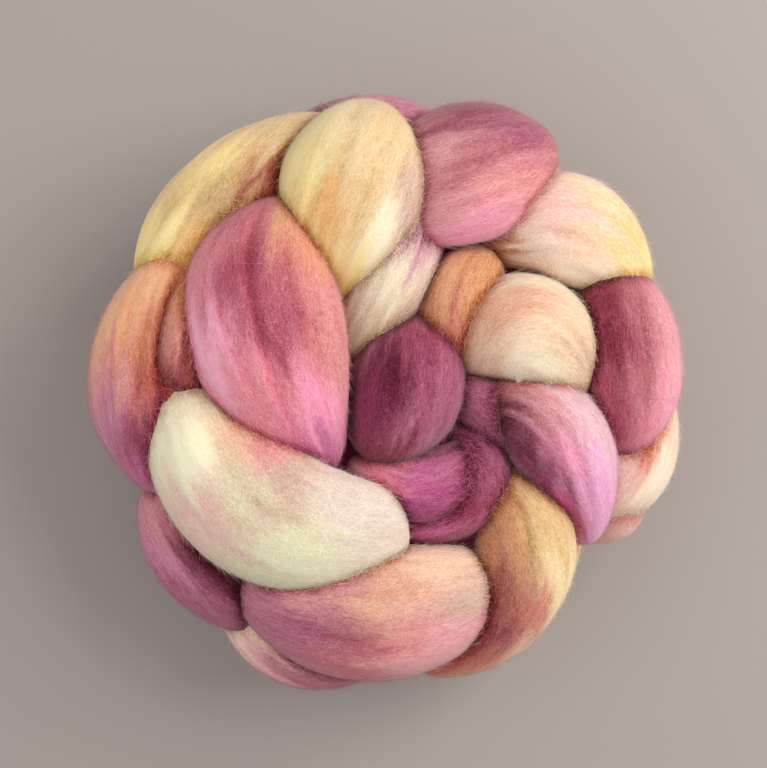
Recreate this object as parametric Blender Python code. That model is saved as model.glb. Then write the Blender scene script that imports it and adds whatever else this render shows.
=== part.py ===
"""A braid of combed wool roving, wound up into a thick round bun that lies on its back.

One strand of soft wool is chained by hand and coiled, so the bun is a heap of fat folds. Each
fold comes up from between its neighbours, bulges and dives again. The whole bun is one solid:
the folds are fused onto a core of wool that nobody sees, and pressed flat where the bun rests.
"""
import math
from collections import namedtuple

import bmesh
import bpy
from mathutils import Vector

MM = 0.001

# The bun
BUN_RADIUS = 100 * MM
BUN_HEIGHT = 92 * MM
MID_HEIGHT = BUN_HEIGHT / 2
CORE_RADIUS = 79 * MM
CORE_HALF_HEIGHT = 16 * MM
CORE_HEIGHT = 41 * MM
CORE_SQUARENESS = 3.0
CORE_SIDES = 64
CORE_RINGS = 17

# Puts the origin under the middle of the bun, whose folds reach out unevenly
TO_MIDDLE = Vector((0.9, 0.5, 0.0)) * MM

# A fold
FOLD_RINGS = 26
FOLD_SIDES = 24
RIDGES = 3
RIDGE_DEPTH = 0.035
RIDGE_TURN = math.radians(70)
HEADING_STEP = 0.01

# How the folds are fused into one body
FUSE_SIZE = 2.2 * MM
BODY_TRIANGLES = 9200

# Cutting block under the resting face
BLOCK_SIZE = 0.4

WOOL_COLOUR = (0.62, 0.30, 0.33, 1.0)
WOOL_ROUGHNESS = 0.92

# A fold's middle line runs through three places, each x, y and height in millimetres. The
# height is over the resting face. It is half_width wide to each side, half_depth thick, and
# its ends are blunt at 0.3 and pointed at 1.
Fold = namedtuple("Fold", "name start middle end half_width half_depth start_taper end_taper")

FACE_FOLDS = (
    Fold("butter_rim", (-78, 27, 38), (-58, 62, 52), (-15, 91, 44), 22, 19, 0.40, 0.40),
    Fold("orange_rim", (-61, 51, 52), (-80, 8, 55), (-74, -31, 42), 24, 19, 0.40, 0.45),
    Fold("mauve_inner", (-67, 39, 60), (-68, 14, 65), (-63, -10, 58), 11, 12, 0.50, 0.50),
    Fold("plum_rim", (-79, -28, 36), (-61, -54, 42), (-39, -76, 36), 19, 17, 0.40, 0.40),
    Fold("dusty_rim", (-53, -62, 32), (-31, -82, 36), (-2, -87, 32), 18, 17, 0.40, 0.45),
    Fold("salmon_bean", (-48, -57, 44), (-6, -71, 54), (33, -60, 50), 24, 22, 0.35, 0.30),
    Fold("gold_hook", (36, -27, 49), (44, -58, 51), (12, -94, 36), 17, 17, 0.30, 0.50),
    Fold("peach_rim", (88, 6, 34), (83, -22, 38), (64, -46, 32), 15, 15, 0.40, 0.45),
    Fold("maroon_rim", (72, 44, 44), (78, 12, 50), (76, -22, 40), 19, 19, 0.40, 0.45),
    Fold("lemon_rim", (31, 44, 48), (58, 55, 54), (84, 32, 42), 18, 18, 0.60, 0.40),
    Fold("rose_rim", (1, 57, 54), (27, 75, 57), (51, 80, 44), 25, 19, 0.35, 0.40),
    Fold("mauve_rim", (-38, 79, 38), (-8, 85, 42), (22, 85, 38), 14, 14, 0.45, 0.45),
    Fold("primrose_petal", (-8, 89, 46), (-11, 67, 69), (-15, 25, 58), 24, 18, 0.33, 0.95),
    Fold("beige_band", (8, 78, 50), (2, 44, 60), (-16, 12, 53), 14, 15, 0.45, 0.50),
    Fold("rose_petal", (-32, 61, 60), (-40, 24, 74), (-20, -23, 60), 26, 18, 0.40, 0.50),
    Fold("cream_bean", (-69, 9, 50), (-45, -34, 66), (9, -47, 56), 24, 19, 0.35, 0.30),
    Fold("plum_petal", (12, 29, 57), (6, 4, 63), (-6, -19, 55), 19, 16, 0.40, 0.40),
    Fold("gold_bump", (36, 45, 50), (21, 32, 58), (13, 11, 52), 13, 14, 0.45, 0.45),
    Fold("cream_shell", (20, 13, 52), (45, 20, 62), (67, -1, 48), 18, 17, 0.30, 0.40),
    Fold("orchid_arc", (34, -4, 50), (55, -13, 60), (67, -50, 42), 16, 17, 0.40, 0.50),
    Fold("magenta_curl", (-12, -21, 52), (12, -30, 58), (31, -13, 53), 11, 12, 0.40, 0.45),
    Fold("plum_curl", (22, -8, 50), (33, -30, 53), (2, -44, 50), 10, 12, 0.45, 0.40),
    Fold("dark_curl", (20, 2, 50), (39, -8, 53), (56, -32, 47), 9, 12, 0.40, 0.45),
)

# The folds of the back lie in rings like the blades of a pinwheel. Each ring says how many
# folds, how far out their middles lie, how high, how long, how much they are turned from the
# ring's own direction, how much one end lies under the next fold, and where the ring starts.
Ring = namedtuple("Ring", "name count radius height length slant dip half_width half_depth phase")

BACK_RINGS = (
    Ring("flank", 9, 72, 29, 74, 30, 6, 20, 18, 30),
    Ring("back", 7, 54, 15, 76, 36, 10, 23, 17, 20),
    Ring("hub", 4, 25, 13, 54, 42, 8, 19, 16, 75),
    Ring("heart", 1, 3, 11, 44, 0, 6, 14, 14, 40),
)
RING_START_TAPER = 0.4
RING_END_TAPER = 0.5
UNEVEN_TURN = 5.0
UNEVEN_LENGTH = 0.10
UNEVEN_WIDTH = 0.08
UNEVEN_STEP = 2.4


def around(angle, radius):
    """The place at an angle in degrees and a radius from the bun's middle."""
    turn = math.radians(angle)
    return Vector((radius * math.cos(turn), radius * math.sin(turn), 0.0))


def ring_folds(ring):
    """The folds of one ring, uneven in a slow, regular way."""
    folds = []
    for number in range(ring.count):
        sway = math.sin(UNEVEN_STEP * number + ring.phase)
        angle = ring.phase + 360.0 * number / ring.count + UNEVEN_TURN * sway
        middle = around(angle, ring.radius)
        run = around(angle + 90 + ring.slant, ring.length * (1 + UNEVEN_LENGTH * sway) / 2)
        start = middle - run
        end = middle + run
        start.z = ring.height + ring.dip
        middle.z = ring.height
        end.z = ring.height + ring.dip / 2
        folds.append(Fold(
            f"{ring.name}_{number + 1}", start, middle, end,
            ring.half_width * (1 - UNEVEN_WIDTH * sway), ring.half_depth,
            RING_START_TAPER, RING_END_TAPER,
        ))
    return folds


def along(fold, share):
    """A fold's middle line: the parabola through its start, middle and end, in metres."""
    start, middle, end = (MM * Vector(place) for place in (fold.start, fold.middle, fold.end))
    pull = 2 * middle - (start + end) / 2
    rest = 1 - share
    return TO_MIDDLE + rest * rest * start + 2 * share * rest * pull + share * share * end


def heading(fold, share):
    """The direction of a fold's middle line."""
    before = along(fold, max(share - HEADING_STEP, 0.0))
    after = along(fold, min(share + HEADING_STEP, 1.0))
    return (after - before).normalized()


def outward(place):
    """The direction away from the bun's flat round body at a place."""
    return Vector((
        place.x / BUN_RADIUS ** 2,
        place.y / BUN_RADIUS ** 2,
        (place.z - MID_HEIGHT) / MID_HEIGHT ** 2,
    )).normalized()


def fold_mesh(fold):
    """A closed spindle swept along the fold's middle line, with soft ridges that turn."""
    shape = bmesh.new()
    rings = []
    for number in range(FOLD_RINGS):
        share = 0.5 - 0.5 * math.cos(math.pi * (number + 0.5) / FOLD_RINGS)
        taper = fold.start_taper + (fold.end_taper - fold.start_taper) * share
        swell = math.sin(math.pi * share) ** taper
        centre = along(fold, share)
        ahead = heading(fold, share)
        up = outward(centre)
        side = ahead.cross(up).normalized()
        up = side.cross(ahead)
        ring = []
        for step in range(FOLD_SIDES):
            turn = math.tau * step / FOLD_SIDES
            ridge = 1 + RIDGE_DEPTH * math.cos(RIDGES * turn + RIDGE_TURN * share * RIDGES)
            across = MM * fold.half_width * swell * ridge * math.cos(turn)
            raised = MM * fold.half_depth * swell * ridge * math.sin(turn)
            ring.append(shape.verts.new(centre + across * side + raised * up))
        rings.append(ring)
    for ring, following in zip(rings, rings[1:]):
        for step in range(FOLD_SIDES):
            after = (step + 1) % FOLD_SIDES
            shape.faces.new((ring[step], following[step], following[after], ring[after]))
    for ring, share in ((rings[0], 0.0), (rings[-1], 1.0)):
        tip = shape.verts.new(along(fold, share))
        for step in range(FOLD_SIDES):
            after = (step + 1) % FOLD_SIDES
            shape.faces.new((ring[step], ring[after], tip))
    bmesh.ops.recalc_face_normals(shape, faces=shape.faces)
    mesh = bpy.data.meshes.new(fold.name)
    shape.to_mesh(mesh)
    shape.free()
    return mesh


def core_mesh():
    """The hidden wool in the middle: a flat pillow with a round rim."""
    shape = bmesh.new()
    rings = []
    for number in range(CORE_RINGS):
        turn = math.pi * (number + 1) / (CORE_RINGS + 1) - math.pi / 2
        radius = CORE_RADIUS * math.cos(turn) ** (2 / CORE_SQUARENESS)
        rise = math.copysign(abs(math.sin(turn)) ** (2 / CORE_SQUARENESS), turn)
        height = CORE_HEIGHT + CORE_HALF_HEIGHT * rise
        rings.append([
            shape.verts.new((
                radius * math.cos(math.tau * step / CORE_SIDES),
                radius * math.sin(math.tau * step / CORE_SIDES),
                height,
            ))
            for step in range(CORE_SIDES)
        ])
    for ring, following in zip(rings, rings[1:]):
        for step in range(CORE_SIDES):
            after = (step + 1) % CORE_SIDES
            shape.faces.new((ring[step], ring[after], following[after], following[step]))
    for ring, height in ((rings[0], CORE_HEIGHT - CORE_HALF_HEIGHT),
                         (rings[-1], CORE_HEIGHT + CORE_HALF_HEIGHT)):
        tip = shape.verts.new((0.0, 0.0, height))
        for step in range(CORE_SIDES):
            shape.faces.new((ring[step], ring[(step + 1) % CORE_SIDES], tip))
    bmesh.ops.recalc_face_normals(shape, faces=shape.faces)
    mesh = bpy.data.meshes.new("core")
    shape.to_mesh(mesh)
    shape.free()
    return mesh


def placed(mesh):
    """A new object in the scene that shows a mesh."""
    thing = bpy.data.objects.new(mesh.name, mesh)
    bpy.context.collection.objects.link(thing)
    return thing


def heap_of(meshes):
    """One mesh that holds many closed meshes, which still pass through each other."""
    shape = bmesh.new()
    for mesh in meshes:
        shape.from_mesh(mesh)
    heap = bpy.data.meshes.new("heap")
    shape.to_mesh(heap)
    shape.free()
    return heap


def apply_modifier(body, kind, **settings):
    """Adds one modifier to the body and applies it."""
    modifier = body.modifiers.new(kind.lower(), kind)
    for name, value in settings.items():
        setattr(modifier, name, value)
    bpy.context.view_layer.objects.active = body
    bpy.ops.object.modifier_apply(modifier=modifier.name)


def outer_skin(body):
    """Drops the small pockets that the folds close off inside the bun."""
    shape = bmesh.new()
    shape.from_mesh(body.data)
    left = set(shape.faces)
    shells = []
    while left:
        shell = set()
        waiting = [next(iter(left))]
        while waiting:
            face = waiting.pop()
            if face in shell:
                continue
            shell.add(face)
            waiting.extend(near for edge in face.edges for near in edge.link_faces)
        shells.append(shell)
        left -= shell
    shells.sort(key=len)
    for shell in shells[:-1]:
        points = {point for face in shell for point in face.verts}
        bmesh.ops.delete(shape, geom=list(points), context="VERTS")
    shape.to_mesh(body.data)
    shape.free()


def block_under_rest():
    """A block whose top is the face on which the bun rests."""
    shape = bmesh.new()
    bmesh.ops.create_cube(shape, size=BLOCK_SIZE)
    bmesh.ops.translate(shape, verts=shape.verts, vec=(0, 0, -BLOCK_SIZE / 2))
    mesh = bpy.data.meshes.new("block")
    shape.to_mesh(mesh)
    shape.free()
    return placed(mesh)


def wool():
    """Dyed wool: matt, in the mean of its colours."""
    material = bpy.data.materials.new("dyed_wool")
    material.use_nodes = True
    finish = material.node_tree.nodes["Principled BSDF"]
    finish.inputs["Base Color"].default_value = WOOL_COLOUR
    finish.inputs["Roughness"].default_value = WOOL_ROUGHNESS
    finish.inputs["Metallic"].default_value = 0.0
    return material


def all_folds():
    """Every fold of the bun, those of the face last."""
    folds = []
    for ring in BACK_RINGS:
        folds.extend(ring_folds(ring))
    folds.extend(FACE_FOLDS)
    return folds


def build():
    """The whole bun as one solid: a heap of folds, fused, thinned out and pressed flat below."""
    for thing in list(bpy.data.objects):
        bpy.data.objects.remove(thing)
    body = placed(heap_of([core_mesh(), *(fold_mesh(fold) for fold in all_folds())]))
    body.name = "roving_braid"
    apply_modifier(body, "REMESH", mode="VOXEL", voxel_size=FUSE_SIZE)
    outer_skin(body)
    apply_modifier(body, "TRIANGULATE")
    apply_modifier(body, "DECIMATE", ratio=BODY_TRIANGLES / len(body.data.polygons))
    block = block_under_rest()
    apply_modifier(body, "BOOLEAN", operation="DIFFERENCE", solver="EXACT", object=block)
    bpy.data.objects.remove(block)
    body.data.name = body.name
    body.data.materials.clear()
    body.data.materials.append(wool())
    body.data.shade_smooth()
    return body


build()
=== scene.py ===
# %% [markdown]
# # A bun of hand-dyed wool roving
#
# Roving is wool that has been washed, combed and dyed, and is still one soft strand as thick as
# a wrist. To sell it or keep it, a maker chains the strand by hand and winds the chain into a
# bun, so that what shows is a heap of fat folds: each comes up from between its neighbours,
# bulges and dives again. The solid model is that heap fused into one body. This file dresses it:
# every fold becomes a piece of its own with its furrows, its runs of dye, and its loose hairs.
#
# The first cell loads the solid model.

# %% Load the frame
import math
from collections import namedtuple

import bpy
import numpy as np
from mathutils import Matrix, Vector
from mathutils.bvhtree import BVHTree


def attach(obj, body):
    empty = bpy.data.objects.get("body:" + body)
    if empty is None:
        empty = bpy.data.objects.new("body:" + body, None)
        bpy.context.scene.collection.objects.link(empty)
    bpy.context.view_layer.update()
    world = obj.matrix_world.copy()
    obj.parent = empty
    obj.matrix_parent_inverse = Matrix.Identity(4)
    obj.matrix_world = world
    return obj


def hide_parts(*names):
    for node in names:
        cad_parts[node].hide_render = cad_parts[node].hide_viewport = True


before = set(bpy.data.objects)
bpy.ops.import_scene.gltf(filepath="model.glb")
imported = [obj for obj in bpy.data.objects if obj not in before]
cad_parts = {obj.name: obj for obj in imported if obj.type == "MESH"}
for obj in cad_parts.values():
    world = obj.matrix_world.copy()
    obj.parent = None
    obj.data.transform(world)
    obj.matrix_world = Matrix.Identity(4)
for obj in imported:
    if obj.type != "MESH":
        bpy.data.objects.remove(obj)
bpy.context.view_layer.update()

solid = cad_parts["roving_braid"]
bpy.ops.object.select_all(action="DESELECT")
MM = 0.001

# %% [markdown]
# ## The camera
#
# The bun lies on its back and is looked at from straight above, from a little under half a
# metre over its middle. The lens is worked out from what the picture has to hold: at the height
# of the bun's middle it is a square as wide as VIEW_SIDE.

# %% Camera
CAMERA_HEIGHT = 496 * MM
VIEW_SIDE = 258 * MM
VIEW_DISTANCE = 450 * MM
CAMERA_X = -0.28 * MM
CAMERA_Y = 4.2 * MM
NEAREST_SEEN = 10 * MM

bpy.ops.object.camera_add(location=(CAMERA_X, CAMERA_Y, CAMERA_HEIGHT), rotation=(0, 0, 0))
camera = bpy.context.object
camera.name = "camera"
camera.data.lens = camera.data.sensor_width * VIEW_DISTANCE / VIEW_SIDE
camera.data.clip_start = NEAREST_SEEN
bpy.context.scene.camera = camera
print("lens, mm:", round(camera.data.lens, 1))

# %% [markdown]
# ## Where the folds lie
#
# A fold is a fat strand that is seen from where it comes up to where it goes down. Its middle
# line is a curve through three places, given as x, y and height in millimetres. It is half_width
# wide to each side and half_depth thick, and its ends are blunt at 0.3 and pointed at 1. The
# face of the bun has its own folds, one row each. Those of the back lie in rings, like the
# blades of a pinwheel. These are the solid's own tables, with a few folds of the face moved by
# less than a centimetre.

# %% Tables of folds
Fold = namedtuple("Fold", "name start middle end half_width half_depth start_taper end_taper")

FACE_FOLDS = (
    Fold("butter_rim", (-77, 26, 38), (-55, 60, 52), (-15, 89, 44), 21, 19, 0.40, 0.40),
    Fold("orange_rim", (-61, 50, 52), (-78, 8, 54), (-73, -31, 42), 23, 19, 0.40, 0.45),
    Fold("mauve_inner", (-61, 42, 62), (-62, 15, 68), (-65, -6, 58), 10, 12, 0.50, 0.50),
    Fold("plum_rim", (-77, -28, 36), (-61, -54, 42), (-39, -76, 36), 19, 17, 0.40, 0.40),
    Fold("dusty_rim", (-53, -62, 32), (-31, -82, 36), (-2, -87, 32), 18, 17, 0.40, 0.45),
    Fold("salmon_bean", (-48, -57, 43), (-6, -71, 53), (34, -57, 51), 24, 22, 0.35, 0.32),
    Fold("gold_hook", (35, -26, 52), (44, -58, 52), (12, -94, 36), 17, 17, 0.30, 0.50),
    Fold("peach_rim", (88, 6, 34), (83, -21, 38), (66, -43, 32), 15, 15, 0.40, 0.45),
    Fold("maroon_rim", (72, 44, 44), (78, 12, 50), (76, -22, 40), 19, 19, 0.40, 0.45),
    Fold("lemon_rim", (31, 44, 48), (58, 55, 54), (84, 32, 42), 18, 18, 0.60, 0.40),
    Fold("rose_rim", (1, 56, 54), (26, 74, 57), (51, 80, 44), 27, 19, 0.35, 0.40),
    Fold("mauve_rim", (-37, 82, 38), (-8, 87, 42), (22, 86, 38), 14, 14, 0.45, 0.45),
    Fold("primrose_petal", (-8, 89, 46), (-11, 67, 69), (-15, 25, 58), 24, 18, 0.33, 0.95),
    Fold("beige_band", (9, 78, 50), (3, 44, 61), (-13, 10, 55), 14, 15, 0.45, 0.40),
    Fold("rose_petal", (-32, 61, 60), (-40, 24, 74), (-18, -24, 60), 26, 18, 0.40, 0.58),
    Fold("cream_bean", (-70, 17, 54), (-45, -34, 66), (6, -41, 60), 24, 19, 0.45, 0.28),
    Fold("plum_petal", (13, 28, 56), (6, 3, 63), (-6, -19, 55), 19, 16, 0.62, 0.40),
    Fold("gold_bump", (35, 45, 50), (23, 30, 59), (20, 7, 54), 14, 14, 0.45, 0.45),
    Fold("cream_shell", (23, 10, 51), (46, 21, 62), (62, -2, 48), 19, 17, 0.36, 0.40),
    Fold("orchid_arc", (34, -4, 50), (55, -13, 60), (67, -50, 42), 16, 17, 0.40, 0.50),
    Fold("magenta_curl", (-12, -21, 52), (12, -30, 58), (31, -13, 53), 11, 12, 0.40, 0.45),
    Fold("plum_curl", (21, -8, 50), (28, -30, 54), (0, -44, 51), 12, 13, 0.45, 0.40),
    Fold("dark_curl", (20, 2, 52), (38, -8, 55), (56, -32, 47), 10, 12, 0.40, 0.45),
)

Ring = namedtuple("Ring", "name count radius height length slant dip half_width half_depth phase")

BACK_RINGS = (
    Ring("flank", 9, 72, 29, 74, 30, 6, 20, 18, 30),
    Ring("back", 7, 54, 15, 76, 36, 10, 23, 17, 20),
    Ring("hub", 4, 25, 13, 54, 42, 8, 19, 16, 75),
    Ring("heart", 1, 3, 11, 44, 0, 6, 14, 14, 40),
)
RING_START_TAPER = 0.4
RING_END_TAPER = 0.5
UNEVEN_TURN = 5.0
UNEVEN_LENGTH = 0.10
UNEVEN_WIDTH = 0.08
UNEVEN_STEP = 2.4


def around(angle, radius):
    """The place at an angle in degrees and a radius from the bun's middle."""
    turn = math.radians(angle)
    return Vector((radius * math.cos(turn), radius * math.sin(turn), 0.0))


def ring_folds(ring):
    """The folds of one ring, uneven in a slow, regular way."""
    folds = []
    for number in range(ring.count):
        sway = math.sin(UNEVEN_STEP * number + ring.phase)
        angle = ring.phase + 360.0 * number / ring.count + UNEVEN_TURN * sway
        middle = around(angle, ring.radius)
        run = around(angle + 90 + ring.slant, ring.length * (1 + UNEVEN_LENGTH * sway) / 2)
        start = middle - run
        end = middle + run
        start.z = ring.height + ring.dip
        middle.z = ring.height
        end.z = ring.height + ring.dip / 2
        folds.append(Fold(
            f"{ring.name}_{number + 1}", start, middle, end,
            ring.half_width * (1 - UNEVEN_WIDTH * sway), ring.half_depth,
            RING_START_TAPER, RING_END_TAPER,
        ))
    return folds


back_folds = [fold for ring in BACK_RINGS for fold in ring_folds(ring)]
folds = back_folds + list(FACE_FOLDS)
print("folds of the back:", len(back_folds), "and of the face:", len(FACE_FOLDS))

# %% [markdown]
# ## The skin of a fold
#
# Any place on a fold is found from two numbers: the share of the way along it, from 0 to 1, and
# the turn round it, which is 0 at its right-hand side, a quarter turn on top and half a turn at
# its left. One function gives the place and the direction out of the wool there. The folds are
# made with it, and later the hairs are laid with it, so that they lie exactly on the folds.
# TO_MIDDLE moves the whole heap, so that the bun's middle is over the frame's.
#
# Arrays hold many places at once, which is a hundred times quicker than one at a time.

# %% Middle line and heading
BUN_RADIUS = 100 * MM
MID_HEIGHT = 46 * MM
TO_MIDDLE = np.array((0.9, 0.5, 0.0)) * MM
HEADING_STEP = 0.01
MEASURED_PLACES = 33


def unit(arrows):
    """The same arrows, each one long."""
    return arrows / np.linalg.norm(arrows, axis=-1, keepdims=True)


def middle_line(fold, share):
    """The parabola through a fold's start, middle and end, in metres."""
    start, middle, end = (MM * np.array(place) for place in (fold.start, fold.middle, fold.end))
    pull = 2 * middle - (start + end) / 2
    share = np.clip(share, 0, 1)[..., None]
    rest = 1 - share
    return TO_MIDDLE + rest * rest * start + 2 * share * rest * pull + share * share * end


def bearings(fold, share):
    """The middle of a fold, and the directions ahead, to the right-hand side and up there."""
    centre = middle_line(fold, share)
    ahead = unit(middle_line(fold, share + HEADING_STEP) - middle_line(fold, share - HEADING_STEP))
    up = unit((centre - (0, 0, MID_HEIGHT)) / (BUN_RADIUS**2, BUN_RADIUS**2, MID_HEIGHT**2))
    side = unit(np.cross(ahead, up))
    return centre, ahead, side, np.cross(side, ahead)


def length_of(fold):
    """The length of a fold's middle line, in millimetres."""
    line = middle_line(fold, np.linspace(0, 1, MEASURED_PLACES))
    return np.linalg.norm(np.diff(line, axis=0), axis=1).sum() / MM


lengths = {fold.name: length_of(fold) for fold in folds}
print("longest fold, mm:", round(max(lengths.values())), "shortest:", round(min(lengths.values())))

# %% [markdown]
# ## Strands and furrows
#
# Combed wool isn't smooth: it parts into strands that run along the fold, and where the fold is
# pressed by its neighbours it has deeper furrows. On most folds the strands also turn a little
# round the fold on their way along it, because the roving was twisted as it was wound: SLANTS
# says by how many degrees. Every fold gets a few waves round its girth. On its way along the
# fold each wave drifts to and fro, slowly and quickly at once, and fades in and out. Where it
# starts to do so comes from a random draw that is the same each time.
#
# The furrows that stand out are placed one by one: at which turn, in degrees, they start and end,
# between which shares of the fold's length, and how deep and wide they are in millimetres.

# %% Relief of a fold
RIDGES = 3
RIDGE_DEPTH = 0.035
RIDGE_TURN = math.radians(70)
SLANTS = {
    "butter_rim": 100, "orange_rim": 70, "dusty_rim": -50, "salmon_bean": -40, "gold_hook": -20,
    "lemon_rim": -25, "rose_rim": -40, "primrose_petal": -75, "cream_bean": -60,
    "plum_petal": 80, "orchid_arc": -60, "magenta_curl": -40,
}
BACK_SLANT = 30
STRAND_COUNTS = np.array((5, 7, 11, 14, 19, 23))
STRAND_HEIGHTS = np.array((0.34, 0.30, 0.26, 0.20, 0.14, 0.10))
DRIFT = 1.6
SLOW_DRIFT, SLOW_PACE = 0.8, 2.2
QUICK_DRIFT, QUICK_PACE = 0.5, 5
FADE_MIDDLE, FADE_SWING = 0.55, 0.45
FADE_ALONG, FADE_ROUND = 7, 2
FURROW_FADE = 0.7
FURROWS = {
    "rose_petal": (
        (94, 104, 0.06, 0.76, 1.4, 1.5), (124, 136, 0.16, 0.64, 0.8, 1.4),
        (74, 82, 0.18, 0.80, 0.6, 1.4), (100, 94, 0.52, 0.92, 1.3, 1.4),
        (150, 130, 0.40, 0.90, 0.8, 1.6),
    ),
    "orange_rim": (
        (150, 180, 0.12, 0.66, 1.5, 1.6), (130, 156, 0.14, 0.64, 1.0, 1.5),
        (116, 126, 0.20, 0.62, 0.7, 1.6),
    ),
    "primrose_petal": (
        (126, 90, 0.32, 0.88, 0.8, 1.6), (140, 118, 0.38, 0.96, 0.8, 1.5),
        (94, 80, 0.26, 0.80, 0.5, 1.7),
    ),
    "beige_band": ((132, 126, 0.25, 0.85, 0.8, 1.3), (112, 114, 0.30, 0.95, 0.7, 1.3)),
    "rose_rim": (
        (64, 50, 0.12, 0.86, 0.8, 1.5), (34, 10, 0.12, 0.86, 0.8, 1.4),
        (3, -10, 0.08, 0.62, 0.7, 1.3),
    ),
    "cream_shell": ((104, 68, 0.25, 0.84, 1.1, 1.4), (55, 48, 0.15, 0.90, 0.8, 1.6)),
    "lemon_rim": ((49, 52, 0.22, 0.88, 0.7, 1.6), (30, 10, 0.16, 0.74, 0.6, 1.5)),
    "maroon_rim": ((35, 28, 0.12, 0.88, 1.0, 1.5), (-3, -10, 0.16, 0.84, 0.7, 1.5)),
    "orchid_arc": (
        (86, 8, 0.10, 0.92, 1.1, 1.4), (46, 30, 0.22, 0.64, 0.8, 1.3),
        (68, 38, 0.48, 0.92, 0.7, 1.3),
    ),
    "gold_hook": ((60, 30, 0.10, 0.46, 1.4, 1.3),),
    "salmon_bean": ((160, 120, 0.12, 0.68, 0.9, 1.7),),
    "cream_bean": ((146, 106, 0.22, 0.82, 0.5, 2.2),),
    "plum_rim": ((203, 203, 0.30, 0.88, 1.3, 1.7),),
    "dusty_rim": ((174, 152, 0.25, 0.80, 1.1, 1.6),),
    "plum_petal": ((56, 96, 0.28, 0.78, 1.0, 1.4), (84, 132, 0.20, 0.74, 0.8, 1.4)),
    "magenta_curl": ((144, 122, 0.20, 0.92, 0.7, 1.3), (124, 100, 0.30, 0.90, 0.6, 1.3)),
}


def slant_of(fold):
    """How far the strands turn round a fold on their way along it."""
    return math.radians(SLANTS.get(fold.name, 0 if fold in FACE_FOLDS else BACK_SLANT))


def strand_waves(number):
    """Four starts for each wave of a fold: its own, and those of its two drifts and its fading."""
    draw = np.random.default_rng(number)
    return draw.uniform(0, math.tau, (4, len(STRAND_COUNTS)))


waves = {fold.name: strand_waves(number) for number, fold in enumerate(folds)}


def strand_relief(fold, turn, share):
    """The height of the strands over a fold's plain skin, in millimetres."""
    own, slow, fade, quick = waves[fold.name]
    turn = turn - slant_of(fold) * share
    height = np.zeros_like(share)
    for wave, count in enumerate(STRAND_COUNTS):
        slow_drift = SLOW_DRIFT * np.sin(SLOW_PACE * share + slow[wave])
        quick_drift = QUICK_DRIFT * np.sin(QUICK_PACE * share + quick[wave])
        drift = DRIFT * (slow_drift + quick_drift)
        fading = FADE_SWING * np.sin(FADE_ALONG * share + FADE_ROUND * turn + fade[wave])
        strength = FADE_MIDDLE + fading
        height += STRAND_HEIGHTS[wave] * strength * np.cos(count * turn + own[wave] + drift)
    return height


def gap_round(fold, turn, line):
    """How far two places at the same share lie from each other round the fold, in millimetres."""
    return np.sin((turn - line) / 2) * (fold.half_width + fold.half_depth)


def furrow_depth(fold, turn, share):
    """How deep the fold's own furrows are at a place, in millimetres."""
    depth = np.zeros_like(share)
    for start_turn, end_turn, first, last, deepest, width in FURROWS.get(fold.name, ()):
        way = np.clip((share - first) / (last - first), 0, 1)
        line = np.radians(start_turn + (end_turn - start_turn) * way)
        gap = gap_round(fold, turn, line) / width
        depth += deepest * np.sin(math.pi * way) ** FURROW_FADE * np.exp(-gap**2)
    return depth


print("furrows that are placed one by one:", sum(len(rows) for rows in FURROWS.values()))

# %% [markdown]
# Now the skin itself: the swelling and the three soft ridges of the solid model, and on them the
# strands and furrows. They fade out towards both ends, where the wool is drawn together. What
# would reach below the surface that the bun lies on is pressed flat there.

# %% Skin of a fold
LIE = 0.4 * MM
END_GAP = 1e-4
RELIEF_FADE = 3


def swelling(fold, share):
    """A fold's thickness at a share of its length, 1 where it is thickest."""
    share = np.clip(share, END_GAP, 1 - END_GAP)
    taper = fold.start_taper + (fold.end_taper - fold.start_taper) * share
    return np.sin(math.pi * share) ** taper


def skin(fold, turn, share):
    """The place on a fold's skin, and the direction out of the wool there."""
    centre, ahead, side, up = bearings(fold, share)
    swell = swelling(fold, share)
    ridge = 1 + RIDGE_DEPTH * np.cos(RIDGES * turn + RIDGE_TURN * share * RIDGES)
    relief = strand_relief(fold, turn, share) - furrow_depth(fold, turn, share)
    across = fold.half_width * swell * ridge * np.cos(turn)
    raised = fold.half_depth * swell * ridge * np.sin(turn)
    slope = swelling(fold, share + HEADING_STEP) - swelling(fold, share - HEADING_STEP)
    slope = slope / (2 * HEADING_STEP * lengths[fold.name])
    out = unit(
        (np.cos(turn) / fold.half_width)[..., None] * side
        + (np.sin(turn) / fold.half_depth)[..., None] * up
        - slope[..., None] * ahead
    )
    place = centre + MM * (across[..., None] * side + raised[..., None] * up)
    place = place + MM * (relief * swell**RELIEF_FADE)[..., None] * out
    place[..., 2] = np.maximum(place[..., 2], LIE)
    return place, out


def top_of(fold):
    """The height of a fold's skin in millimetres, on top and halfway along."""
    place, _ = skin(fold, np.array([math.pi / 2]), np.array([0.5]))
    return place[0, 2] / MM


print("highest top of a fold, mm:", round(max(top_of(fold) for fold in folds), 1))

# %% [markdown]
# ## Dyes
#
# The maker pours dye on the wet strand in pools, and the pools run into each other along the
# wool. So each fold has a few pools: the share of the way along it where they lie, the turn round
# it in degrees, and their colour. Between two pools the colour goes over from one to the other,
# and it goes over raggedly, because every lock of wool has drawn up the dye a little further or
# less far than the next.
#
# The dyes are given as a screen shows them, from 0 to 255 in red, green and blue. A screen's
# values grow more slowly than the light does, so they are worked back into light.

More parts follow.
